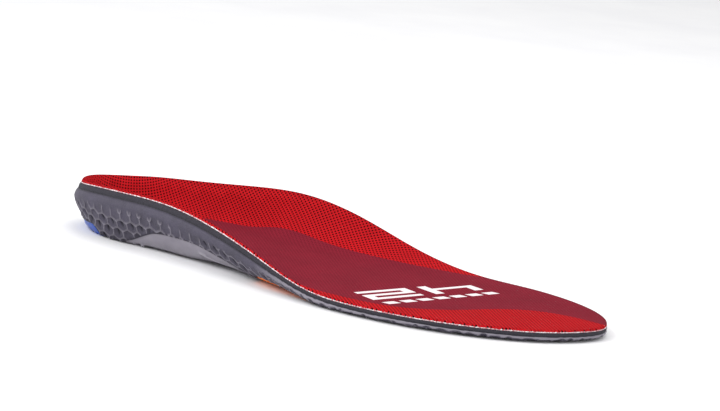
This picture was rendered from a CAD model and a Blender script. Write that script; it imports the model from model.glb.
import functools
import math

import bmesh
import bpy
import numpy as np
from mathutils import Matrix, Vector
from mathutils.geometry import delaunay_2d_cdt
from mathutils.kdtree import KDTree


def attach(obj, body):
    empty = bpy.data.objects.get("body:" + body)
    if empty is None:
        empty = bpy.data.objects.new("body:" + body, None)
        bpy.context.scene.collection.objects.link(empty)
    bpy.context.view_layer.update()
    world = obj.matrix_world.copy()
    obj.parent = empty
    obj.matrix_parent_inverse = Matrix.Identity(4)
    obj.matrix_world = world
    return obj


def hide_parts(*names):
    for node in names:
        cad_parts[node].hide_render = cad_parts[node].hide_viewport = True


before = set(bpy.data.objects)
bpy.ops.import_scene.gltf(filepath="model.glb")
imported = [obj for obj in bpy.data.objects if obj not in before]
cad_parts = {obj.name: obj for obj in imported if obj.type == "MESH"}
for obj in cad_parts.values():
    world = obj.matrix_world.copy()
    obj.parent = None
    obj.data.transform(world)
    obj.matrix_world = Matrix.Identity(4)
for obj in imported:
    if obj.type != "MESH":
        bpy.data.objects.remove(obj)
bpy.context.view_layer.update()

MM = 0.001
rng = np.random.default_rng(7)

# ---------------------------------------------------------------- shape, in the part's own millimetres
LENGTH, HEEL_WIDTH, BALL_WIDTH, HEEL_SEAT = 270.0, 60.0, 96.5, 14.5
HEEL_RISE, ARCH_RISE, HEEL_BED, FOREFOOT_BED = 17.0, 18.7, 8.0, 5.2
COVER_T, BOND_T, CUSHION_T, BASE_RIM_T = 0.9, 0.15, 1.7, 2.0
SOFT_T = COVER_T + CUSHION_T + 2 * BOND_T
WAIST_LIFT, INSERT_PROUD, INSERT_GAP = 1.4, 0.3, 0.3
HEEL_PAD_T, FOREFOOT_PAD_T, PLATE_T, PLATE_TO_PAD = 2.4, 1.5, 1.3, 1.6
HEEL_RUN, ARCH_RUN, OUTER_RUN, WALL_CURVE, RIM_LEAN = 11.0, 27.0, 14.0, 2.1, 0.16
WALL_LIMIT = 1.5                       # how far the wall's formula goes on past the rim, in runs
CUT_FROM, CUT_TO, CUT_HALVINGS = -1.0, 9.0, 26      # search along the rim's cut face
ROW_SHARE = 0.866                      # row spacing of a staggered grid, in pitches

RIM_ROWS = [
    (0.022, 0.258, 0.70, 0.250, 0.84), (0.067, 0.433, 0.72, 0.400, 0.94), (0.141, 0.525, 0.78, 0.475, 1.00),
    (0.241, 0.547, 0.91, 0.475, 0.97), (0.356, 0.505, 1.00, 0.491, 0.74), (0.474, 0.461, 0.75, 0.530, 0.39),
    (0.581, 0.451, 0.30, 0.552, 0.06), (0.693, 0.462, 0.02, 0.539, 0.00), (0.789, 0.456, 0.00, 0.490, 0.00),
    (0.878, 0.402, 0.00, 0.383, 0.00), (0.948, 0.295, 0.00, 0.231, 0.00), (0.989, 0.161, 0.00, 0.057, 0.00),
]
HEEL_BACK, TOE_TIP = (0.0, -0.017, 0.81), (1.0, 0.062, 0.0)
HEEL_PAD = [
    (0.007, -0.050), (0.013, -0.150), (0.027, -0.238), (0.043, -0.305), (0.064, -0.367),
    (0.083, -0.393), (0.100, -0.338), (0.106, -0.233), (0.100, -0.142), (0.078, -0.083),
    (0.067, 0.000), (0.065, 0.083), (0.052, 0.140), (0.029, 0.120), (0.013, 0.042),
]
FOREFOOT_PAD = [
    (0.449, -0.440), (0.472, -0.480), (0.520, -0.487), (0.575, -0.485), (0.612, -0.430), (0.636, -0.232),
    (0.658, -0.060), (0.700, 0.050), (0.727, 0.165), (0.715, 0.290), (0.660, 0.346), (0.590, 0.341),
    (0.520, 0.320), (0.494, 0.241), (0.498, 0.107), (0.468, -0.092), (0.451, -0.295),
]
PLATE = [
    (0.128, -0.265), (0.133, -0.365), (0.158, -0.420), (0.205, -0.466), (0.278, -0.480), (0.360, -0.462),
    (0.425, -0.400), (0.470, -0.300), (0.540, -0.108), (0.560, 0.106), (0.525, 0.262), (0.480, 0.343),
    (0.430, 0.390), (0.370, 0.435), (0.300, 0.495), (0.220, 0.525), (0.150, 0.500), (0.105, 0.420),
    (0.095, 0.290), (0.104, 0.130), (0.122, -0.080),
]
FLEX_GROOVES = [
    [(0.664, -0.420), (0.683, -0.200), (0.686, -0.060)],
    [(0.752, -0.400), (0.759, -0.130), (0.753, 0.120)],
]
SIZE_GUIDES = [
    [(0.676, -0.515), (0.770, -0.445), (0.864, -0.275), (0.914, 0.050), (0.864, 0.300)],
    [(0.830, -0.400), (0.905, -0.245), (0.955, 0.080), (0.918, 0.275)],
]


def ease(value, start, end):
    t = np.clip((np.asarray(value, float) - start) / (end - start), 0.0, 1.0)
    return t * t * (3.0 - 2.0 * t)


def station_at(x):
    return (x + HEEL_SEAT) / LENGTH


def place(points):
    points = np.asarray(points, float)
    width = HEEL_WIDTH + (BALL_WIDTH - HEEL_WIDTH) * ease(points[:, 0], 0.14, 0.69)
    return np.c_[points[:, 0] * LENGTH - HEEL_SEAT, points[:, 1] * width]


def bed_height(x):
    return HEEL_BED + (FOREFOOT_BED - HEEL_BED) * ease(station_at(x), 0.30, 0.70)


def lift_height(x):
    return WAIST_LIFT * ease(station_at(x), 0.10, 0.20) * (1.0 - ease(station_at(x), 0.37, 0.47))


def spline(points, count, closed=True):
    """Cubic spline through points, spaced by chord length; returns count points evenly spread along it."""
    points = np.asarray(points, float)
    n = len(points)
    ends = np.vstack([points, points[:1]]) if closed else points
    h = np.linalg.norm(np.diff(ends[:, :2], axis=0), axis=1)
    knots = np.r_[0.0, np.cumsum(h)]
    a = np.zeros((n, n))
    b = np.zeros((n, points.shape[1]))
    for i in range(n):
        if not closed and i in (0, n - 1):
            a[i, i] = 1.0
            continue
        before, after = h[i - 1], h[i % len(h)]
        a[i, (i - 1) % n] += before
        a[i, i] += 2.0 * (before + after)
        a[i, (i + 1) % n] += after
        b[i] = 6.0 * ((ends[(i + 1) % len(ends)] - points[i]) / after - (points[i] - points[i - 1]) / before)
    m = np.linalg.solve(a, b)
    m = np.vstack([m, m[:1]]) if closed else m
    dense = np.linspace(0.0, knots[-1], 40 * n)
    k = np.clip(np.searchsorted(knots, dense, side="right") - 1, 0, len(h) - 1)
    s, w = dense - knots[k], h[k]
    left, right = (w - s)[:, None], s[:, None]
    w = w[:, None]
    curve = (m[k] * left**3 + m[k + 1] * right**3) / (6.0 * w)
    curve += (ends[k] / w - m[k] * w / 6.0) * left + (ends[k + 1] / w - m[k + 1] * w / 6.0) * right
    run = np.r_[0.0, np.cumsum(np.linalg.norm(np.diff(curve[:, :2], axis=0), axis=1))]
    even = np.linspace(0.0, run[-1], count + 1)[:-1] if closed else np.linspace(0.0, run[-1], count)
    return np.stack([np.interp(even, run, curve[:, i]) for i in range(curve.shape[1])], axis=1)


def rim_line(count):
    rows = np.array(RIM_ROWS)
    arch, outer = place(rows[:, [0, 1]]), place(rows[:, [0, 3]] * [1, -1])
    heel, toe = place([HEEL_BACK[:2]]), place([TOE_TIP[:2]])
    plan = np.vstack([heel, arch, toe, outer[::-1]])
    rise = np.r_[HEEL_BACK[2] * HEEL_RISE, rows[:, 2] * ARCH_RISE, 0.0, (rows[:, 4] * HEEL_RISE)[::-1]]
    return spline(np.c_[plan, bed_height(plan[:, 0]) + rise], count)


def left_of(line):
    """Unit plan vectors to the left of a closed line's direction; on the rim they point outwards."""
    ahead = np.roll(line, -1, axis=0) - np.roll(line, 1, axis=0)
    left = np.c_[-ahead[:, 1], ahead[:, 0]]
    return left / np.linalg.norm(left, axis=1)[:, None]


RIM = rim_line(440)
RIM_OUT = left_of(RIM)


def run_at(x, y):
    side = np.where(y > 0, ARCH_RUN, OUTER_RUN)
    return HEEL_RUN + (side - HEEL_RUN) * ease(station_at(x), 0.25, 0.41)


def to_line(points, line, closed=True):
    """Distance from plan points to a line, the index of its nearest segment and how far along that is."""
    a = line[:, :2]
    b = np.roll(a, -1, axis=0)
    if not closed:
        a, b = a[:-1], b[:-1]
    ab = b - a
    size = (ab**2).sum(1)
    out = []
    for part in np.array_split(points[:, :2], max(1, len(points) // 4000)):
        t = np.clip(((part[:, None] - a) * ab).sum(2) / size, 0.0, 1.0)
        d2 = ((part[:, None] - a - t[..., None] * ab) ** 2).sum(2)
        k = d2.argmin(1)
        rows = np.arange(len(part))
        out.append(np.c_[np.sqrt(d2[rows, k]), k, t[rows, k]])
    return np.vstack(out)


def inside(points, loop):
    x, y = points[:, 0], points[:, 1]
    hit = np.zeros(len(points), bool)
    for (ax, ay), (bx, by) in zip(loop[:, :2], np.roll(loop[:, :2], -1, axis=0)):
        if ay == by:
            continue
        cross = (ay > y) != (by > y)
        hit ^= cross & (x < (bx - ax) * (y - ay) / (by - ay) + ax)
    return hit


def heights(points):
    """Cover top, stretch of a layer on the slope and base underside at plan points."""
    near = to_line(points, RIM)
    k = near[:, 1].astype(int)
    foot = RIM[k] + near[:, 2:3] * (np.roll(RIM, -1, axis=0)[k] - RIM[k])
    gap = np.where(inside(points, RIM), near[:, 0], -near[:, 0])
    run = run_at(foot[:, 0], foot[:, 1])
    up = np.clip(1.0 - gap / run, 0.0, WALL_LIMIT)
    bed = bed_height(points[:, 0])
    rise = foot[:, 2] - bed_height(foot[:, 0])
    slope = rise * WALL_CURVE * up ** (WALL_CURVE - 1.0) / run
    stretch = np.sqrt(1.0 + slope**2)
    floor_t = bed - SOFT_T - lift_height(points[:, 0])
    base_t = BASE_RIM_T + (floor_t - BASE_RIM_T) * (1.0 - np.minimum(up, 1.0) ** 2)
    blend = np.clip(rise / 2.0, 0.0, 1.0)
    base_t = floor_t + (base_t - floor_t) * blend
    top = bed + rise * up**WALL_CURVE
    return top, stretch, top - (SOFT_T + base_t) * stretch


def cut_loop(depth, surface="top"):
    """Where a surface meets the rim's cut face, at a depth under the cover or above the base's underside."""
    lean = RIM_LEAN * (RIM[:, 2] - bed_height(RIM[:, 0])) * WALL_CURVE / run_at(RIM[:, 0], RIM[:, 1])
    low, high = np.full(len(RIM), CUT_FROM), np.full(len(RIM), CUT_TO)
    for _ in range(CUT_HALVINGS):
        t = (low + high) / 2.0
        plan = RIM[:, :2] + RIM_OUT * (lean * t)[:, None]
        top, stretch, under = heights(plan)
        if surface == "top":
            z = top - depth * stretch
        else:
            z = np.maximum(under + depth * stretch, INSERT_PROUD)
        above = RIM[:, 2] - t > z
        low, high = np.where(above, t, low), np.where(above, high, t)
    return np.c_[RIM[:, :2] + RIM_OUT * (lean * t)[:, None], RIM[:, 2] - t]


# ---------------------------------------------------------------- mesh building
ON_LINE = 1e-3           # a point this near a line lies on it


class Skin:
    """Collects surfaces and bands, then welds them into one mesh object."""

    def __init__(self):
        self.points, self.faces, self.slots, self.marks = [], [], [], []
        self.total = 0

    def add(self, points, faces, slot=0, mark=None):
        points = np.asarray(points, float)
        self.points.append(points)
        slots = slot if isinstance(slot, np.ndarray) else np.full(len(faces), slot)
        self.faces.extend([tuple(int(i) + self.total for i in f) for f in faces])
        self.slots.extend(int(s) for s in slots)
        self.marks.append(np.zeros(len(points)) if mark is None else np.asarray(mark, float))
        self.total += len(points)

    def band(self, upper, lower, slot=0, closed=True, mark=None):
        n = len(upper)
        faces = [(i, (i + 1) % n, n + (i + 1) % n, n + i) for i in range(n if closed else n - 1)]
        self.add(np.vstack([upper, lower]), faces, slot, mark)

    def make(self, name, materials):
        mesh = bpy.data.meshes.new(name)
        points = np.vstack(self.points)
        mesh.from_pydata((points * MM).tolist(), [], self.faces)
        coords = mesh.attributes.new("flat_place", "FLOAT_VECTOR", "POINT")
        coords.data.foreach_set("vector", flattened(points).astype(np.float32).ravel())
        mark = mesh.attributes.new("mark", "FLOAT", "POINT")
        mark.data.foreach_set("value", np.concatenate(self.marks).astype(np.float32))
        for material in materials:
            mesh.materials.append(material)
        mesh.polygons.foreach_set("material_index", self.slots)
        obj = bpy.data.objects.new(name, mesh)
        bpy.context.scene.collection.objects.link(obj)
        weld(mesh)
        mesh.polygons.foreach_set("use_smooth", [True] * len(mesh.polygons))
        mesh.update()
        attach(obj, "root")
        return obj


def weld(mesh):
    bm = bmesh.new()
    bm.from_mesh(mesh)
    bmesh.ops.remove_doubles(bm, verts=bm.verts, dist=2e-6)
    bmesh.ops.dissolve_degenerate(bm, edges=bm.edges, dist=1e-7)
    bmesh.ops.recalc_face_normals(bm, faces=bm.faces)
    bm.to_mesh(mesh)
    bm.free()


def flattened(points):
    """Where each point would lie, in metres, if the walls were folded out flat; the weave follows this."""
    near = to_line(points, RIM)
    k = near[:, 1].astype(int)
    foot = RIM[k]
    gap = np.where(inside(points, RIM), near[:, 0], -near[:, 0])
    run = run_at(foot[:, 0], foot[:, 1])
    up = np.clip(1.0 - gap / run, 0.0, WALL_LIMIT)
    rise = foot[:, 2] - bed_height(foot[:, 0])
    steps = np.linspace(0.0, 1.0, 12)[1:]
    slopes = [rise * WALL_CURVE * (up * s) ** (WALL_CURVE - 1.0) / run for s in steps]
    length = sum(np.sqrt(1.0 + slope**2) for slope in slopes)
    extra = up * run * (length / len(steps) - 1.0)
    ahead = np.roll(RIM, -1, axis=0)[k] - foot
    out = np.c_[-ahead[:, 1], ahead[:, 0]]
    out /= np.linalg.norm(out, axis=1)[:, None]
    plan = points[:, :2] + out * extra[:, None]
    return np.c_[plan, np.zeros(len(plan))] * MM


def grid_in(loop, pitch, margin=0.6, keep_off=None):
    """Staggered grid of points inside a loop, clear of its edge and of other points."""
    low, high = loop[:, :2].min(0), loop[:, :2].max(0)
    rows = np.arange(low[1], high[1], pitch * ROW_SHARE)
    points = []
    for j, y in enumerate(rows):
        xs = np.arange(low[0] + (j % 2) * pitch / 2.0, high[0], pitch)
        points.append(np.c_[xs, np.full(len(xs), y)])
    points = np.vstack(points)
    keep = inside(points, loop) & (to_line(points, loop)[:, 0] > margin * pitch)
    points = points[keep]
    if keep_off is not None and len(keep_off):
        tree = KDTree(len(keep_off))
        for i, p in enumerate(keep_off):
            tree.insert((p[0], p[1], 0.0), i)
        tree.balance()
        near = np.array([tree.find((p[0], p[1], 0.0))[2] for p in points])
        points = points[near > margin * pitch]
    return points


class Plan:
    """Plan points with height offsets and fixed edges, triangulated together."""

    def __init__(self):
        self.points, self.offsets, self.marks, self.edges = [], [], [], []
        self.count = 0

    def line(self, points, offset=0.0, closed=True, mark=0.0):
        n = len(points)
        self.points.append(np.asarray(points, float)[:, :2])
        self.offsets.append(np.full(n, offset) if np.isscalar(offset) else np.asarray(offset, float))
        self.marks.append(np.full(n, mark))
        last = n if closed else n - 1
        self.edges += [(self.count + i, self.count + (i + 1) % n) for i in range(last)]
        self.count += n

    def dots(self, points, offset=0.0, mark=0.0):
        if len(points):
            self.points.append(np.asarray(points, float)[:, :2])
            self.offsets.append(np.full(len(points), offset))
            self.marks.append(np.full(len(points), mark))
            self.count += len(points)

    def triangles(self, loop):
        points = np.vstack(self.points)
        offsets, marks = np.concatenate(self.offsets), np.concatenate(self.marks)
        verts, _, faces, origin, _, _ = delaunay_2d_cdt([Vector(p) for p in points], self.edges, [], 0, 1e-5)
        plan = np.array([v[:] for v in verts])
        lift = np.array([offsets[o[0]] if o else 0.0 for o in origin])
        mark = np.array([marks[o[0]] if o else 0.0 for o in origin])
        faces = np.array(faces)
        middle = plan[faces].mean(1)
        return plan, lift, mark, faces[inside(middle, loop)]


def layer(depth, slot_of=None, curves=(), pitch=2.2):
    """One face of a soft layer: plan points inside its own rim loop, at a depth under the cover's top."""
    loop = cut_loop(depth)
    plan = Plan()
    plan.line(loop)
    for curve in curves:
        plan.line(curve, closed=False)
    taken = np.vstack(curves) if len(curves) else None
    plan.dots(grid_in(loop, pitch, keep_off=taken))
    xy, _, _, faces = plan.triangles(loop)
    top, stretch, _ = heights(xy)
    z = top - depth * stretch
    near = to_line(xy, loop)
    on_edge = near[:, 0] < ON_LINE
    k = (near[:, 1] + np.round(near[:, 2])).astype(int) % len(loop)
    z = np.where(on_edge, loop[k, 2], z)
    slots = 0 if slot_of is None else slot_of(xy[faces].mean(1))
    return np.c_[xy, z], faces, slots, loop


# ---------------------------------------------------------------- outlines and lines of the underside
def outline(points, grow, count):
    """Closed outline through shares of length and width, grown outwards; it runs opposite to the rim."""
    loop = spline(place(points), count)
    return loop - grow * left_of(loop)


def run_of(loop, keep):
    start = int(np.flatnonzero(keep & ~np.roll(keep, 1))[0])
    return np.roll(loop, -start, axis=0)[: int(keep.sum())]


def plate_loop(grow=0.0):
    plate, pad = outline(PLATE, grow, 260), outline(FOREFOOT_PAD, PLATE_TO_PAD - grow, 220)
    return np.vstack([run_of(plate, ~inside(plate, pad)), run_of(pad, inside(pad, plate))[::-1]])


def arc(start, through, end, count=12):
    """Points on the circle through three plan points."""
    (ax, ay), (bx, by), (cx, cy) = start, through, end
    d = 2.0 * (ax * (by - cy) + bx * (cy - ay) + cx * (ay - by))
    aa, bb, cc = ax * ax + ay * ay, bx * bx + by * by, cx * cx + cy * cy
    mid = np.array([(aa * (by - cy) + bb * (cy - ay) + cc * (ay - by)) / d,
                    (aa * (cx - bx) + bb * (ax - cx) + cc * (bx - ax)) / d])
    angles = [math.atan2(p[1] - mid[1], p[0] - mid[0]) for p in (start, through, end)]
    turn = (angles[2] - angles[0]) % math.tau
    if (angles[1] - angles[0]) % math.tau > turn:
        turn -= math.tau
    around = angles[0] + turn * np.linspace(0.0, 1.0, count)
    return mid + np.linalg.norm(np.array(start) - mid) * np.c_[np.cos(around), np.sin(around)]


def plate_ridges():
    lines = []
    for k in range(5):
        size, advance = 0.87**k, k - 0.04 * k * k
        cusp = place([(0.149 + 0.053 * advance, -0.423 + 0.107 * advance)])[0]
        reach = 0.31 * HEEL_WIDTH * size
        hook = cusp + np.array([0.0, 1.0]) * reach
        lines.append(arc(cusp, cusp + np.array([0.47, 0.52]) * reach, hook))
        lines.append(np.linspace(hook, cusp + np.array([2.0, 2.6]) * reach, 12))
        tail = place([(0.475, -0.240 + 0.06 * k)])[0]
        middle = (cusp + tail) / 2.0 - np.array([0.0, 0.145 * HEEL_WIDTH]) * size
        lines.append(arc(cusp, middle, tail, 24))
        fan_start, fan_end = place([(0.290 + 0.030 * k, -0.560), (0.460, -0.280 - 0.035 * k)])
        lines.append(arc(fan_start, (fan_start + fan_end) / 2.0 + np.array([2.0, -2.0]), fan_end, 16))
    edge = plate_loop(-1.3)
    kept = []
    for line in lines:
        good = inside(line, edge)
        if good.sum() > 2:
            kept.append(run_of(line, good) if not good.all() else line)
    return kept


def side_line(line, shift):
    ahead = np.gradient(line[:, :2], axis=0)
    ahead /= np.linalg.norm(ahead, axis=1)[:, None]
    return line[:, :2] + shift * np.c_[-ahead[:, 1], ahead[:, 0]]


PLATE_STUDS = [(35.8, -24.5), (50.1, -17.5), (63.4, -10.7), (33.5, -1.4), (63.2, 6.2)]
PADS = {"heel": (lambda grow=0.0: outline(HEEL_PAD, grow, 110), HEEL_PAD_T),
        "forefoot": (lambda grow=0.0: outline(FOREFOOT_PAD, grow, 220), FOREFOOT_PAD_T),
        "plate": (plate_loop, PLATE_T)}


# ---------------------------------------------------------------- base shell
CELL, CELL_LINE = 5.9, 0.55            # honeycomb pitch, and how far a cell's flat lies inside its line
RIDGE_T, HOLE_T, HOLES_TO = 0.30, 1.45, 1.13
HOLE_SIDES, HOLE_RADII = 11, (1.62, 1.22, 1.05)
CELL_RADIUS = CELL / math.sqrt(3.0)
HEXAGON = np.array([[math.cos(a), math.sin(a)] for a in (math.pi / 6 + k * math.pi / 3 for k in range(6))])
FOLD_STEPS = np.linspace(0.0, 1.42, 59)
RECESS_SLOPE = 0.12                    # a recess is this much narrower at its floor
FLOOR_FLAG = 50.0                      # added to the lift of a recess floor, to tell its points from the rest
EDGE_ROUND, EDGE_NOTCHES, EDGE_WAVES = 2.4, 118.0, 9.0


def steep(point):
    """1 where the base has a high wall, 0 along the flat forefoot."""
    return float(1.0 - ease(station_at(point[0]), 0.50, 0.60))


def circle(centre, radius, count=11):
    around = np.arange(count) * math.tau / count
    return np.asarray(centre) + radius * np.c_[np.cos(around), np.sin(around)]


@functools.cache
def unfolded_rim():
    """The base's outer edge with its walls folded out flat, the wall's length up to each step, its run."""
    run = run_at(RIM[:, 0], RIM[:, 1])
    plan = RIM[None, :, :2] - RIM_OUT[None] * (run[None, :, None] * (1.0 - FOLD_STEPS)[:, None, None])
    under = heights(plan.reshape(-1, 2))[2].reshape(len(FOLD_STEPS), -1)
    climb = np.hypot(np.diff(np.maximum(under, INSERT_PROUD), axis=0), np.diff(FOLD_STEPS)[:, None] * run)
    length = np.vstack([np.zeros(len(RIM)), np.cumsum(climb, axis=0)]).T
    return RIM[:, :2] + RIM_OUT * (length[:, -1] - run)[:, None], length, run


def folded(points):
    """Plan points of a flat pattern once its edges are folded up into the walls, and how far up each is."""
    loop, length, run = unfolded_rim()
    near = to_line(points, loop)
    k = near[:, 1].astype(int)
    gap = np.where(inside(points, loop), near[:, 0], -near[:, 0])
    after = (k + 1) % len(RIM)
    t = near[:, 2:3]
    table = length[k] * (1 - t) + length[after] * t
    reach = run[k] * (1 - t[:, 0]) + run[after] * t[:, 0]
    climbed = table[:, -1] - gap
    high = np.array([np.interp(c, row, FOLD_STEPS) if c > 0.0 else 0.0 for c, row in zip(climbed, table)])
    foot = RIM[k, :2] * (1 - t) + RIM[after, :2] * t
    outward = RIM_OUT[k] * (1 - t) + RIM_OUT[after] * t
    plan = foot - outward * (reach * (1.0 - high))[:, None]
    plan = np.where((climbed > 0.0)[:, None], plan, points)
    over = np.maximum(-gap, 0.0)
    return plan + outward * (over * 0.5)[:, None], high, outward


def cell_centres():
    """Centres of the honeycomb's cells, laid out flat under the whole base."""
    centres = np.array([(i * CELL + (j % 2) * CELL / 2.0 - 42.0, j * CELL * ROW_SHARE + 0.9)
                        for j in range(-16, 16) for i in range(58)])
    loop = unfolded_rim()[0]
    return centres[inside(centres, loop + 4.0 * left_of(loop))]


class Underside:
    """The base's underside in plan: rim, recesses, grooves and guides, then the honeycomb and its holes."""

    def __init__(self):
        self.rim = cut_loop(0.0, "under")
        self.floors = {name: loop(INSERT_GAP - RECESS_SLOPE) for name, (loop, _) in PADS.items()}
        self.mouths = {name: loop(INSERT_GAP) for name, (loop, _) in PADS.items()}
        self.grooves = [spline(place(g), 34, closed=False) for g in FLEX_GROOVES]
        self.guides = [spline(place(g), 90, closed=False) for g in SIZE_GUIDES]
        self.plan = Plan()

    def clear(self, points, rim_gap, insert_gap, groove_gap=1.7, guide_gap=0.5):
        """Which points keep these distances from the rim, the recesses, the grooves and the guides."""
        good = inside(points, self.rim) & (to_line(points, self.rim)[:, 0] > rim_gap)
        for mouth in self.mouths.values():
            good &= ~inside(points, mouth) & (to_line(points, mouth)[:, 0] > insert_gap)
        for groove in self.grooves:
            good &= to_line(points, groove, False)[:, 0] > groove_gap
        for guide in self.guides:
            good &= to_line(points, guide, False)[:, 0] > guide_gap
        return good

    def add_cuts(self):
        """The rim, the recesses, the flex grooves and the size guides; an offset is a depth into the base."""
        self.plan.line(self.rim)
        for name, (_, thick) in PADS.items():
            self.plan.line(self.mouths[name])
            self.plan.line(self.floors[name], offset=FLOOR_FLAG + thick + BOND_T, mark=0.5)
        for groove in self.grooves:
            for shift, offset in ((0.0, 1.15), (0.7, 1.0), (-0.7, 1.0), (1.25, 0.0), (-1.25, 0.0)):
                self.plan.line(side_line(groove, shift), offset, closed=False, mark=0.4 if offset else 0.0)
        for guide in self.guides:
            for shift, offset in ((0.0, 0.55), (0.30, 0.0), (-0.30, 0.0)):
                self.plan.line(side_line(guide, shift), offset, closed=False, mark=1.0 if offset else 0.0)

    def add_ridges(self, centres):
        """Raised lines of the honeycomb, each cell side once, in three steps."""
        sides = {}
        for centre in centres:
            six = centre + CELL_RADIUS * HEXAGON
            for k in range(6):
                a, b = six[k], six[(k + 1) % 6]
                key = tuple(sorted([tuple(np.round(a, 2)), tuple(np.round(b, 2))]))
                sides[key] = np.linspace(key[0], key[1], 4)
        flat = np.array(list(sides.values())).reshape(-1, 2)
        strips = folded(flat)[0]
        good = self.clear(strips, 0.40, 0.45).reshape(-1, 4)
        joints = {}
        for laid, strip, fine_ones in zip(flat.reshape(-1, 4, 2), strips.reshape(-1, 4, 2), good):
            index = [self.joint(joints, q, p) if ok else None for q, p, ok in zip(laid, strip, fine_ones)]
            self.plan.edges += [(a, b) for a, b in zip(index, index[1:]) if a is not None and b is not None]

    def joint(self, joints, laid, place_at):
        """Index of a honeycomb point, shared by the lines that meet there."""
        key = tuple(np.round(laid, 2))
        if key not in joints:
            joints[key] = self.plan.count
            self.plan.dots([place_at], -RIDGE_T, -1.0)
        return joints[key]

    def add_cells(self, centres):
        """The flat of each cell, inside its raised line."""
        corners = (CELL_RADIUS - CELL_LINE) * HEXAGON
        sides = [(corners[k], corners[(k + 1) % 6]) for k in range(6)]
        cells = np.vstack([np.linspace(c + a, c + b, 4)[:3] for c in centres for a, b in sides])
        cells = folded(cells)[0]
        good = self.clear(cells, 0.40, 0.45).reshape(-1, 18)
        for cell, ok in zip(cells.reshape(-1, 18, 2), good):
            if ok.all():
                self.plan.line(cell)
            else:
                self.plan.dots(cell[ok])

    def add_holes(self, centres):
        """Blind holes, one in each cell, drawn out along the wall where it is steep."""
        _, high, outward = folded(centres)
        around = np.arange(HOLE_SIDES) * math.tau / HOLE_SIDES
        for centre, up, out in zip(centres + np.array([0.30, 0.25]), high, outward):
            if up > HOLES_TO and steep(centre) > 0.2:
                continue
            on_wall = float(np.clip(up * 2.0 - 0.6, 0.0, 1.0)) * steep(centre)
            across, tall = 1.0 - 0.42 * on_wall, 1.0 + 0.35 * on_wall
            side = np.array([out[1], -out[0]])
            ring = np.cos(around)[:, None] * side * across + np.sin(around)[:, None] * out * tall
            mouth, step, bottom = [folded(centre + ring * radius)[0] for radius in HOLE_RADII]
            if not self.clear(mouth, 0.35, 0.30, 1.45, 0.35).all():
                continue
            self.plan.line(mouth)
            self.plan.line(step, 0.30, mark=0.45)
            self.plan.line(bottom, HOLE_T * 0.85, mark=1.0)
            self.plan.dots(folded(np.array([centre]))[0], HOLE_T, 1.0)

    def surface(self):
        """Points, faces and marks of the underside, and its outer edge with the edge's rounding."""
        self.plan.dots(grid_in(self.rim, 1.7, margin=0.40, keep_off=np.vstack(self.plan.points)))
        xy, lift, mark, faces = self.plan.triangles(self.rim)
        on_floor = lift > FLOOR_FLAG / 2.0
        recessed = on_floor.copy()
        lift = np.where(on_floor, lift - FLOOR_FLAG, lift)
        for name, (_, thick) in PADS.items():
            within = inside(xy, self.floors[name])
            recessed |= within
            lift = np.where(within & ~on_floor, thick + BOND_T, lift)
        _, stretch, under = heights(xy)
        near = to_line(xy, self.rim)
        level = 1.0 - np.clip((stretch - 1.0) / 0.5, 0.0, 1.0)
        around = near[:, 1] / len(self.rim) * math.tau
        notch = 0.5 + 0.5 * np.sin(around * EDGE_NOTCHES + 2.2 * np.sin(around * EDGE_WAVES))
        rounded = np.clip(1.0 - near[:, 0] / EDGE_ROUND, 0.0, 1.0) ** 2 * (0.8 + 0.9 * notch**3) * level
        z = np.where(recessed, under, np.maximum(under, INSERT_PROUD) + rounded) + lift * stretch
        on_edge = near[:, 0] < ON_LINE
        k = (near[:, 1] + np.round(near[:, 2])).astype(int) % len(self.rim)
        z = np.where(on_edge, self.rim[k, 2] + rounded, z)
        edge = self.rim.copy()
        edge[k[on_edge], 2] = z[on_edge]
        return np.c_[xy, z], faces[:, ::-1], mark, edge


def base_shell():
    under = Underside()
    centres = cell_centres()
    under.add_cuts()
    under.add_ridges(centres)
    under.add_cells(centres)
    under.add_holes(centres)
    points, faces, mark, lower = under.surface()
    skin = Skin()
    skin.add(points, faces, 0, mark)
    top_points, top_faces, _, top_rim = layer(SOFT_T, pitch=3.0)
    skin.add(top_points, top_faces)
    bulge = np.linspace(0.0, 1.0, 5)
    loops = [lower + (top_rim - lower) * s for s in bulge]
    for loop, s in zip(loops[1:-1], bulge[1:-1]):
        loop[:, :2] += RIM_OUT * (0.35 * math.sin(math.pi * s))
    _, stretch, _ = heights(RIM)
    pale = np.tile(-np.clip(1.0 - (stretch - 1.0) / 0.6, 0.0, 1.0), 2)
    for a, b in zip(loops, loops[1:]):
        skin.band(a, b, mark=pale)
    return skin.make("base_shell_moulded", [BASE_LOOK])


# ---------------------------------------------------------------- soft layers
def sandwich(name, upper, lower, materials, slot_of=None, curves=(), bulge=0.15, pitch=2.2, edge_slot=0):
    """A closed layer between two depths under the cover's top."""
    skin = Skin()
    top, faces, slots, rim_a = layer(upper, slot_of, curves, pitch)
    skin.add(top, faces, slots)
    low, faces, _, rim_b = layer(lower, pitch=3.0)
    skin.add(low, faces[:, ::-1], edge_slot)
    middle = (rim_a + rim_b) / 2.0
    middle[:, :2] += RIM_OUT * bulge
    skin.band(rim_a, middle, edge_slot)
    skin.band(middle, rim_b, edge_slot)
    return skin.make(name, materials)


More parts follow.
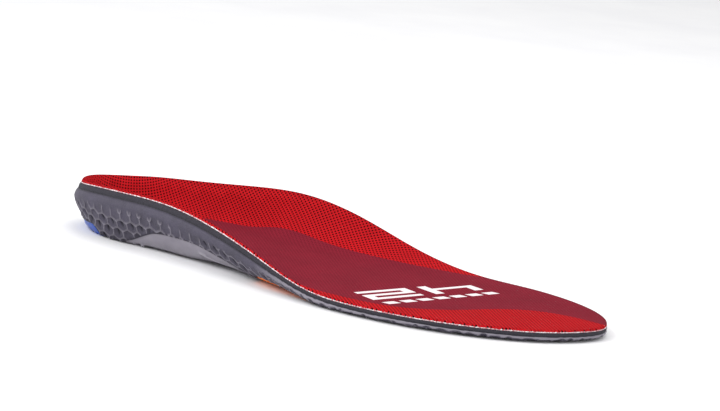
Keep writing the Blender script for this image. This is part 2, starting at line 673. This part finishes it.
ZONE = [(14, -46), (-4, -16), (4, 6), (16, 16.0), (30, 20.5), (52, 24.5), (72, 25.3), (93, 22.8),
        (115, 22.8), (130, 25.3), (144, 29.2), (161, 36.0), (172, 41.5), (184, 50.0)]
STRIPE = [(120, -60), (136, -51.5), (148, -47.5), (162, -45.5), (178, -42.0), (191, -33.5),
          (203, -18.0), (213, -1.5), (222, 6.5), (232, 10.5), (243, 11.5), (262, 9.0)]
PRINT_START, PRINT_ALONG = np.array([177.0, 31.0]), np.array([-0.30, -0.954])
FOUR = [(0, 13), (0, 4.6), (23, 4.6), (23, 0), (28, 0), (28, 13), (23, 13), (23, 7.2), (5, 7.2), (5, 13)]
TWO = [(0, 13), (29, 13), (29, 5.2), (5, 5.2), (5, 2.6), (29, 2.6),
       (29, 0), (0, 0), (0, 7.8), (24, 7.8), (24, 10.4), (0, 10.4)]


DASH = [(0, 0), (6.6, 0), (5.2, 3.6), (-1.4, 3.6)]
DASH_PITCH, DASH_LIFT = 9.6, 17.4
THREADS_A_STEP = 4       # cut threads to each step of the rim


def printed(points, start, lift):
    points = np.asarray(points, float) + [start, lift]
    upward = np.array([-PRINT_ALONG[1], PRINT_ALONG[0]])
    return PRINT_START + points[:, :1] * PRINT_ALONG + points[:, 1:] * upward


def fine(loop, step=1.2):
    out = []
    for a, b in zip(loop, np.roll(loop, -1, axis=0)):
        n = max(1, int(np.linalg.norm(b - a) / step))
        out.append(np.linspace(a, b, n + 1)[:-1])
    return np.vstack(out)


def cover():
    marks = [fine(printed(FOUR, 5.0, 0.0)), fine(printed(TWO, 40.0, 0.0))]
    for k in range(7):
        marks.append(fine(printed(DASH, 4.0 + DASH_PITCH * k, DASH_LIFT)))
    zone = spline(ZONE, 150, closed=False)
    stripe = spline(STRIPE, 150, closed=False)
    upper_rim = cut_loop(0.0)
    inner = [line[inside(line, upper_rim) & (to_line(line, upper_rim)[:, 0] > 0.3)]
             for line in (zone, stripe)]
    zone_area = np.vstack([zone, [(200, 120), (-60, 120), (-60, -60), (14, -60)]])
    stripe_area = np.vstack([stripe, [(300, 9.0), (300, -120), (120, -120)]])

    def slot_of(middle):
        slots = np.where(inside(middle, zone_area) | inside(middle, stripe_area), 0, 1)
        for shape in marks:
            slots = np.where(inside(middle, shape), 2, slots)
        return slots

    loops = [np.vstack([m, m[:1]]) for m in marks]
    return sandwich("top_cover_fabric", 0.0, COVER_T, [RED_LOOK, WINE_LOOK, PRINT_LOOK], slot_of,
                    inner + loops, bulge=0.10, pitch=2.0)


def edge_fray():
    """Pale cut threads that stand out where the cover meets the foam."""
    upper, lower = cut_loop(COVER_T - 0.10), cut_loop(COVER_T + BOND_T)
    steps = np.arange(len(RIM) * THREADS_A_STEP) / THREADS_A_STEP
    k, t = steps.astype(int) % len(RIM), (steps % 1.0)[:, None]
    upper = upper[k] * (1 - t) + np.roll(upper, -1, axis=0)[k] * t
    lower = lower[k] * (1 - t) + np.roll(lower, -1, axis=0)[k] * t
    out = left_of(upper)
    n = len(steps)
    rough = rng.random(n) ** 2
    fore = 0.25 + 0.75 * ease(station_at(upper[:, 0]), 0.20, 0.55)
    high, wide = (0.02 + 0.38 * rough) * fore, (0.04 + 0.26 * rng.random(n) ** 2) * fore
    a, b, c, d = upper.copy(), upper.copy(), lower.copy(), lower.copy()
    a[:, 2] += high
    b[:, 2] += high * 0.8
    b[:, :2] += out * wide[:, None]
    c[:, :2] += out * wide[:, None] * 0.9
    c[:, 2] -= 0.10 * rng.random(n)
    a[:, :2] -= out * 0.6
    d[:, :2] -= out * 0.6
    skin = Skin()
    for p, q in ((a, b), (b, c), (c, d), (d, a)):
        skin.band(p, q)
    return skin.make("cover_edge_threads", [THREAD_LOOK])


# ---------------------------------------------------------------- inserts
RIDGE_LIFT, STUD_LIFT = 0.34, 0.4


def insert(name, loop_of, thick, material, ridges=(), studs=(), round_edge=0.5, proud=0.0):
    edge = loop_of(0.0)
    shoulder = loop_of(-0.30)
    crest = loop_of(-0.85)
    plan = Plan()
    plan.line(edge, offset=round_edge)
    plan.line(shoulder, offset=round_edge * 0.35)
    plan.line(crest)
    core = loop_of(-1.3)
    for line in ridges:
        for shift in (0.0, 0.22, -0.22, 0.48, -0.48):
            path = side_line(line, shift)
            path = path[inside(path, core)]
            if len(path) > 2:
                plan.line(path, closed=False)
    for stud in studs:
        plan.line(circle(stud, 1.0))
        plan.line(circle(stud, 0.65))
    taken = np.vstack(plan.points)
    plan.dots(grid_in(core, 2.2, margin=0.4, keep_off=taken))
    xy, lift, _, faces = plan.triangles(edge)
    mark = np.zeros(len(xy))
    if len(ridges):
        near = np.min([to_line(xy, line, False)[:, 0] for line in ridges], axis=0)
        raised = np.clip(1.0 - (near - 0.12) / 0.36, 0.0, 1.0)
        mark = raised
        lift = lift - RIDGE_LIFT * raised
    for stud in studs:
        near = np.linalg.norm(xy - stud, axis=1)
        raised = np.clip(1.0 - (near - 0.62) / 0.36, 0.0, 1.0)
        lift = lift - STUD_LIFT * raised
        mark = np.maximum(mark, raised)
    _, stretch, under = heights(xy)
    z = np.maximum(np.maximum(under, proud) + lift * stretch, 0.0)
    skin = Skin()
    skin.add(np.c_[xy, z], faces[:, ::-1], 0, mark)
    back_plan = Plan()
    back_plan.line(edge)
    back_plan.dots(grid_in(edge, 3.0))
    back_xy, _, _, back_faces = back_plan.triangles(edge)
    _, stretch, under = heights(back_xy)
    skin.add(np.c_[back_xy, under + thick * stretch], back_faces)
    _, stretch, under = heights(edge)
    lower = np.c_[edge, np.maximum(np.maximum(under, proud) + round_edge * stretch, 0.0)]
    upper = np.c_[edge, under + thick * stretch]
    skin.band(lower, upper)
    return skin.make(name, [material])


def insert_film(name, loop_of, thick):
    edge = loop_of(0.0)
    plan = Plan()
    plan.line(edge)
    plan.dots(grid_in(edge, 3.0))
    xy, _, _, faces = plan.triangles(edge)
    _, stretch, under = heights(xy)
    skin = Skin()
    skin.add(np.c_[xy, under + thick * stretch], faces[:, ::-1])
    skin.add(np.c_[xy, under + (thick + BOND_T) * stretch], faces)
    _, stretch, under = heights(edge)
    skin.band(np.c_[edge, under + thick * stretch], np.c_[edge, under + (thick + BOND_T) * stretch])
    return skin.make(name, [FILM_LOOK])


# ---------------------------------------------------------------- looks
class Look:
    """A node material under construction; every texture works in millimetres."""

    def __init__(self, name, roughness=0.7, specular=0.35, sheen=0.0, place_by=None):
        self.material = bpy.data.materials.new(name)
        self.material.use_nodes = True
        self.tree = self.material.node_tree
        self.shader = self.tree.nodes["Principled BSDF"]
        self.shader.inputs["Roughness"].default_value = roughness
        self.shader.inputs["Specular IOR Level"].default_value = specular
        self.shader.inputs["Sheen Weight"].default_value = sheen
        if place_by:
            source = self.node("ShaderNodeAttribute", attribute_name=place_by).outputs["Vector"]
        else:
            source = self.node("ShaderNodeTexCoord").outputs["Object"]
        self.place = self.mapped(source, 1000.0)

    def node(self, kind, **settings):
        made = self.tree.nodes.new(kind)
        for key, value in settings.items():
            setattr(made, key, value)
        return made

    def link(self, value, socket):
        if isinstance(value, bpy.types.NodeSocket):
            self.tree.links.new(value, socket)
        else:
            socket.default_value = value

    def mapped(self, source, scale, turn=0.0):
        made = self.node("ShaderNodeMapping")
        made.inputs["Scale"].default_value = (scale,) * 3 if np.isscalar(scale) else scale
        made.inputs["Rotation"].default_value = (0.0, 0.0, turn)
        self.link(source, made.inputs["Vector"])
        return made.outputs["Vector"]

    def noise(self, scale, detail=3.0, rough=0.6):
        made = self.node("ShaderNodeTexNoise")
        self.link(self.place, made.inputs["Vector"])
        made.inputs["Scale"].default_value = scale
        made.inputs["Detail"].default_value = detail
        made.inputs["Roughness"].default_value = rough
        return made.outputs["Fac"]

    def lattice(self, pitch_x, pitch_y, turn=0.0, loose=0.0):
        """Distance to the nearest point of a regular grid, in grid steps."""
        turned = self.mapped(self.mapped(self.place, (1.0 / pitch_x, 1.0 / pitch_y, 0.0)), 1.0, turn)
        made = self.node("ShaderNodeTexVoronoi", voronoi_dimensions="2D")
        self.link(turned, made.inputs["Vector"])
        made.inputs["Scale"].default_value = 1.0
        made.inputs["Randomness"].default_value = loose
        return made.outputs["Distance"]

    def stripes(self, pitch, turn):
        made = self.node("ShaderNodeTexWave", bands_direction="X")
        self.link(self.mapped(self.place, 1.0, turn), made.inputs["Vector"])
        made.inputs["Scale"].default_value = 0.31416 / pitch
        return made.outputs["Fac"]

    def ramp(self, value, low, high, start=0.0, end=1.0):
        made = self.node("ShaderNodeMapRange")
        self.link(value, made.inputs["Value"])
        for key, number in (("From Min", low), ("From Max", high), ("To Min", start), ("To Max", end)):
            made.inputs[key].default_value = number
        return made.outputs["Result"]

    def math(self, operation, a, b=0.0):
        made = self.node("ShaderNodeMath", operation=operation)
        self.link(a, made.inputs[0])
        self.link(b, made.inputs[1])
        return made.outputs[0]

    def mix(self, share, a, b):
        made = self.node("ShaderNodeMix", data_type="RGBA")
        self.link(share, made.inputs["Factor"])
        for key, value in (("A", a), ("B", b)):
            socket = [s for s in made.inputs if s.name == key and s.type == "RGBA"][0]
            self.link(value if isinstance(value, bpy.types.NodeSocket) else rgb(value), socket)
        return [s for s in made.outputs if s.type == "RGBA"][0]

    def finish(self, colour, height=None, depth_mm=0.1, rough=None):
        self.link(colour, self.shader.inputs["Base Color"])
        if rough is not None:
            self.link(rough, self.shader.inputs["Roughness"])
        if height is not None:
            bump = self.node("ShaderNodeBump")
            bump.inputs["Distance"].default_value = depth_mm * MM
            bump.inputs["Strength"].default_value = 1.0
            self.link(height, bump.inputs["Height"])
            self.link(bump.outputs["Normal"], self.shader.inputs["Normal"])
        return self.material


def rgb(code):
    parts = [int(code[i:i + 2], 16) / 255.0 for i in (0, 2, 4)]
    return tuple(c / 12.92 if c <= 0.04045 else ((c + 0.055) / 1.055) ** 2.4 for c in parts) + (1.0,)


def knit(name, light, dark, hole, dots):
    look = Look(name, 0.95, 0.05, place_by="flat_place")
    loops = look.ramp(look.lattice(0.78, 0.70, math.pi / 4), 0.15, 0.75)
    wander = look.ramp(look.noise(0.06, 4.0), 0.3, 0.7)
    fuzz = look.ramp(look.noise(3.2, 3.0, 0.7), 0.35, 0.75)
    colour = look.mix(look.math("MULTIPLY", loops, 0.75), light, dark)
    colour = look.mix(look.math("MULTIPLY", wander, 0.28), colour, dark)
    colour = look.mix(look.math("MULTIPLY", fuzz, 0.05), colour, "ff9a94")
    pits = look.ramp(look.lattice(1.52, 1.52, math.pi / 4), 0.19, 0.33, 1.0, 0.0)
    colour = look.mix(look.math("MULTIPLY", pits, dots), colour, hole)
    height = look.math("SUBTRACT", look.math("SUBTRACT", 1.0, look.math("MULTIPLY", loops, 0.45)),
                       look.math("MULTIPLY", pits, dots))
    return look.finish(colour, look.math("ADD", height, look.math("MULTIPLY", fuzz, 0.2)), 0.22)


def foam_look(name, light, dark, ridge, hollow, roughness=0.6, specular=0.25, grain=0.05):
    look = Look(name, roughness, specular)
    mark = look.node("ShaderNodeAttribute", attribute_name="mark").outputs["Fac"]
    wander = look.ramp(look.noise(0.12, 4.0), 0.3, 0.7)
    speck = look.noise(5.0, 3.0, 0.7)
    colour = look.mix(wander, light, dark)
    colour = look.mix(look.ramp(speck, 0.35, 0.75, 0.0, 0.25), colour, ridge)
    colour = look.mix(look.ramp(mark, -0.2, -1.0, 0.0, 0.75), colour, ridge)
    colour = look.mix(look.ramp(mark, 0.05, 0.9, 0.0, 0.92), colour, hollow)
    rough = look.ramp(look.noise(0.5, 3.0), 0.3, 0.7, roughness - 0.08, roughness + 0.10)
    return look.finish(colour, speck, grain, rough)


RED_LOOK = knit("cover_red_mesh", "d0101c", "900811", "1c0305", 1.0)
WINE_LOOK = knit("cover_wine_knit", "8c1c30", "561020", "2a050c", 0.38)
BASE_LOOK = foam_look("base_grey_foam", "433f50", "322f3c", "99949f", "08070b")


def print_look():
    look = Look("cover_white_ink", 0.6, 0.3, place_by="flat_place")
    loops = look.ramp(look.lattice(0.78, 0.70, math.pi / 4), 0.25, 0.75)
    worn = look.ramp(look.noise(1.6, 4.0, 0.7), 0.55, 0.75)
    colour = look.mix(look.math("MULTIPLY", loops, 0.45), "f4eef0", "c98f98")
    colour = look.mix(look.math("MULTIPLY", worn, 0.55), colour, "a8485a")
    return look.finish(colour, look.math("SUBTRACT", 1.0, loops), 0.12)


def thread_look():
    look = Look("cover_edge_threads", 0.9, 0.2, 0.2)
    tuft = look.ramp(look.noise(1.1, 3.0, 0.7), 0.44, 0.56)
    return look.finish(look.mix(tuft, "f3eff2", "b8707a"), look.noise(4.0), 0.1)


def cushion_look():
    look = Look("cushion_charcoal_foam", 0.85, 0.2)
    cells = look.noise(3.5, 4.0, 0.75)
    colour = look.mix(look.ramp(cells, 0.3, 0.7), "1e1d23", "4a4850")
    return look.finish(colour, cells, 0.18)


def plate_look():
    look = Look("plate_grey_plastic", 0.36, 0.5)
    mark = look.node("ShaderNodeAttribute", attribute_name="mark").outputs["Fac"]
    wander = look.ramp(look.noise(0.05, 3.0), 0.3, 0.7)
    grain = look.noise(4.0, 2.0, 0.5)
    colour = look.mix(wander, "8f8a94", "7d7883")
    colour = look.mix(look.ramp(mark, 0.2, 1.0, 0.0, 0.6), colour, "bdb9c2")
    return look.finish(colour, grain, 0.02, look.ramp(look.noise(0.4, 3.0), 0.3, 0.7, 0.30, 0.44))


def heel_pad_look():
    look = Look("heel_pad_blue_gel", 0.34, 0.5)
    wander = look.ramp(look.noise(0.10, 3.0), 0.3, 0.7)
    grain = look.noise(3.0, 3.0, 0.6)
    colour = look.mix(wander, "2c52ae", "24479c")
    return look.finish(colour, grain, 0.03, look.ramp(look.noise(0.7, 3.0), 0.3, 0.7, 0.28, 0.42))


def forefoot_pad_look():
    look = Look("forefoot_pad_orange_gel", 0.55, 0.20)
    first, second = look.stripes(1.7, math.radians(38.0)), look.stripes(1.7, math.radians(-42.0))
    raised = look.ramp(look.math("MAXIMUM", first, second), 0.62, 0.96)
    wander = look.ramp(look.noise(0.08, 3.0), 0.3, 0.7)
    colour = look.mix(wander, "ff6d06", "f26202")
    colour = look.mix(look.math("MULTIPLY", raised, 0.70), colour, "ffb066")
    return look.finish(colour, raised, 0.20)


def film_look():
    look = Look("bond_film_dark", 0.5, 0.4)
    colour = look.mix(look.ramp(look.noise(1.2), 0.3, 0.7), "1a191e", "2c2a31")
    return look.finish(colour, look.noise(2.0), 0.03)


PRINT_LOOK, THREAD_LOOK, CUSHION_LOOK = print_look(), thread_look(), cushion_look()
PLATE_LOOK, FILM_LOOK = plate_look(), film_look()
HEEL_LOOK, FOREFOOT_LOOK = heel_pad_look(), forefoot_pad_look()

# ---------------------------------------------------------------- pieces
cover_piece = cover()
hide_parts("top_cover")

fray = edge_fray()
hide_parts("cover_bond_film")

cushion = sandwich("cushion_foam_layer", COVER_T + BOND_T, COVER_T + BOND_T + CUSHION_T, [CUSHION_LOOK],
                   bulge=0.30)
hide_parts("cushion_layer")

shell = base_shell()
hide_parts("base_shell")

plate = insert("arch_plate_ridged", plate_loop, PLATE_T, PLATE_LOOK, plate_ridges(), PLATE_STUDS,
               round_edge=0.45, proud=INSERT_PROUD)
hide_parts("arch_plate")

for side, label, look in (("heel", "heel_pad", HEEL_LOOK), ("forefoot", "forefoot_pad", FOREFOOT_LOOK)):
    loop_of, thick = PADS[side]
    pad = insert(label + "_gel", loop_of, thick, look, round_edge=0.7)
    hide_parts(label)

film = sandwich("base_bond_line", SOFT_T - BOND_T, SOFT_T, [FILM_LOOK], bulge=0.05, pitch=3.0)
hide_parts("base_bond_film")
for side, node in (("plate", "arch_plate"), ("heel", "heel_pad"), ("forefoot", "forefoot_pad")):
    film = insert_film(node + "_bond_line", *PADS[side])
    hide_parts(node + "_bond_film")

# ---------------------------------------------------------------- floor, lights and camera
def floor():
    look = Look("studio_floor", 0.9, 0.1)
    material = look.finish(look.mix(look.ramp(look.noise(0.01), 0.3, 0.7), "f7f7f8", "f2f2f4"))
    mesh = bpy.data.meshes.new("studio_floor")
    r, z = 6.0, -0.0004
    mesh.from_pydata([(-r, -r, z), (r, -r, z), (r, r, z), (-r, r, z)], [], [(0, 1, 2, 3)])
    mesh.materials.append(material)
    obj = bpy.data.objects.new("studio_floor", mesh)
    bpy.context.scene.collection.objects.link(obj)


def lamp(name, place_at, target, size, power, colour=(1.0, 1.0, 1.0)):
    data = bpy.data.lights.new(name, "AREA")
    data.size, data.energy, data.color = size, power, colour
    obj = bpy.data.objects.new(name, data)
    obj.location = place_at
    obj.rotation_euler = (Vector(target) - Vector(place_at)).to_track_quat("-Z", "Y").to_euler()
    bpy.context.scene.collection.objects.link(obj)


def camera():
    turn, tilt, roll = (math.radians(v) for v in (31.23, 10.98, 5.94))
    reach, aside, above = 1.1654, 0.01374, 0.02217
    back = Vector((math.sin(turn) * math.cos(tilt), -math.cos(turn) * math.cos(tilt), math.sin(tilt)))
    right = Vector((math.cos(turn), math.sin(turn), 0.0))
    up = back.cross(right)
    x_axis = math.cos(roll) * right + math.sin(roll) * up
    y_axis = math.cos(roll) * up - math.sin(roll) * right
    data = bpy.data.cameras.new("view")
    data.sensor_width, data.lens = 36.0, 2615.0 * 36.0 / 720.0
    data.clip_start, data.clip_end = 0.05, 50.0
    obj = bpy.data.objects.new("view", data)
    at = Vector((0.1205, 0.0, 0.010)) + x_axis * aside + y_axis * above + back * reach
    turned = Matrix((x_axis, y_axis, back)).transposed()
    obj.matrix_world = Matrix.Translation(at) @ turned.to_4x4()
    bpy.context.scene.collection.objects.link(obj)
    bpy.context.scene.camera = obj


floor()
middle = (0.12, 0.0, 0.01)
lamp("key", (-0.35, -0.75, 0.85), middle, 0.7, 7.5)
lamp("top", (0.15, 0.15, 1.1), middle, 1.0, 3.0)
lamp("rim", (0.55, 0.75, 0.45), middle, 0.6, 1.5)
world = bpy.data.worlds.new("studio")
world.use_nodes = True
world.node_tree.nodes["Background"].inputs["Color"].default_value = (1.0, 1.0, 1.0, 1.0)
world.node_tree.nodes["Background"].inputs["Strength"].default_value = 0.85
bpy.context.scene.world = world
bpy.context.scene.view_settings.view_transform = "Standard"
camera()
